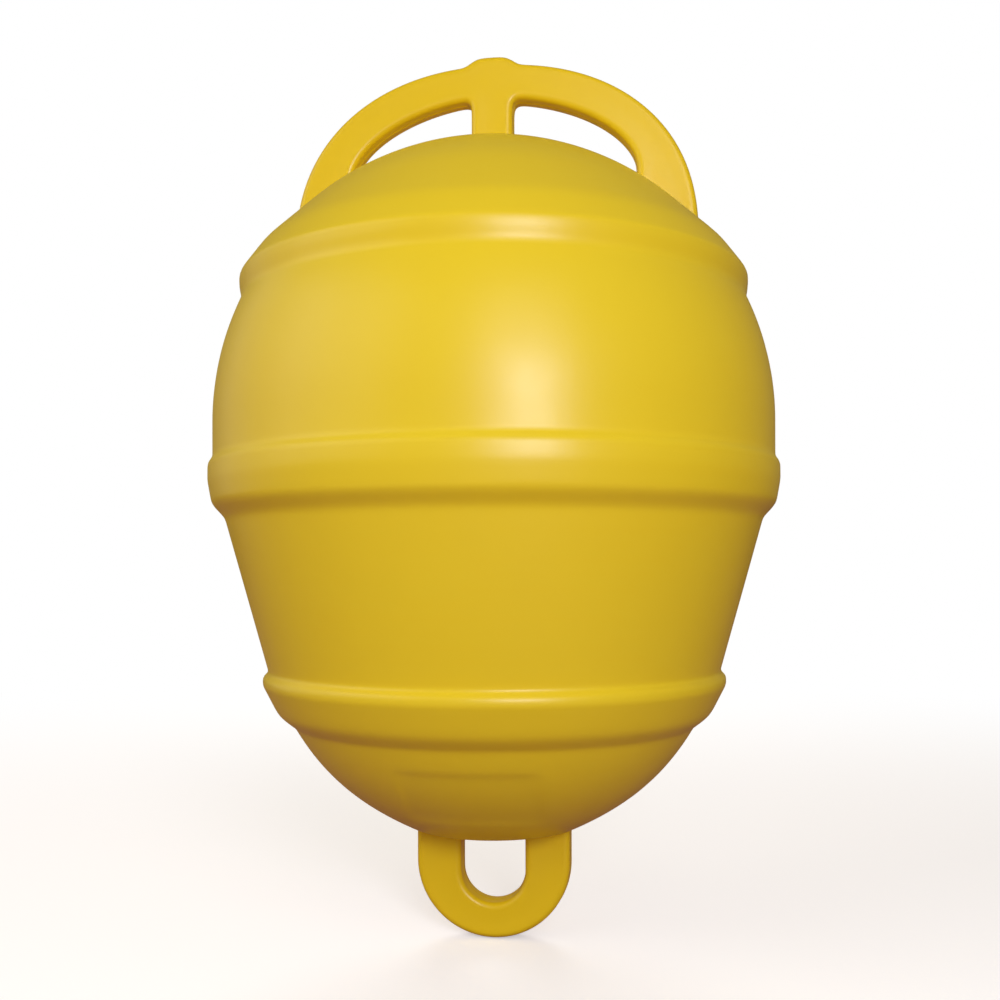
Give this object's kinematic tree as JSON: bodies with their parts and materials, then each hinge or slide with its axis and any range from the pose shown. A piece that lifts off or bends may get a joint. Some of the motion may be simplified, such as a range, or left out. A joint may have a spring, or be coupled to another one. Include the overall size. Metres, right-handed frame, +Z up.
{
  "type": "mooring buoy",
  "caption": "Moulded mooring buoy: a ribbed, tapered float with an arched carrying handle on top and a mooring eye below.",
  "frame": {"origin": "centre of the mooring eye's round hole end, where the shackle pulls", "axes": "+Z up the float's axis to the handle; the handle and the eye are plates in the XZ plane; -Y is the front"},
  "size_m": [0.3204, 0.3204, 0.5033],
  "materials": {
    "float_plastic": "semi-gloss yellow polyethylene, coloured through, with a faint moulded texture"
  },
  "bodies": {
    "root": {"buoy": "float_plastic"}
  },
  "joints": []
}
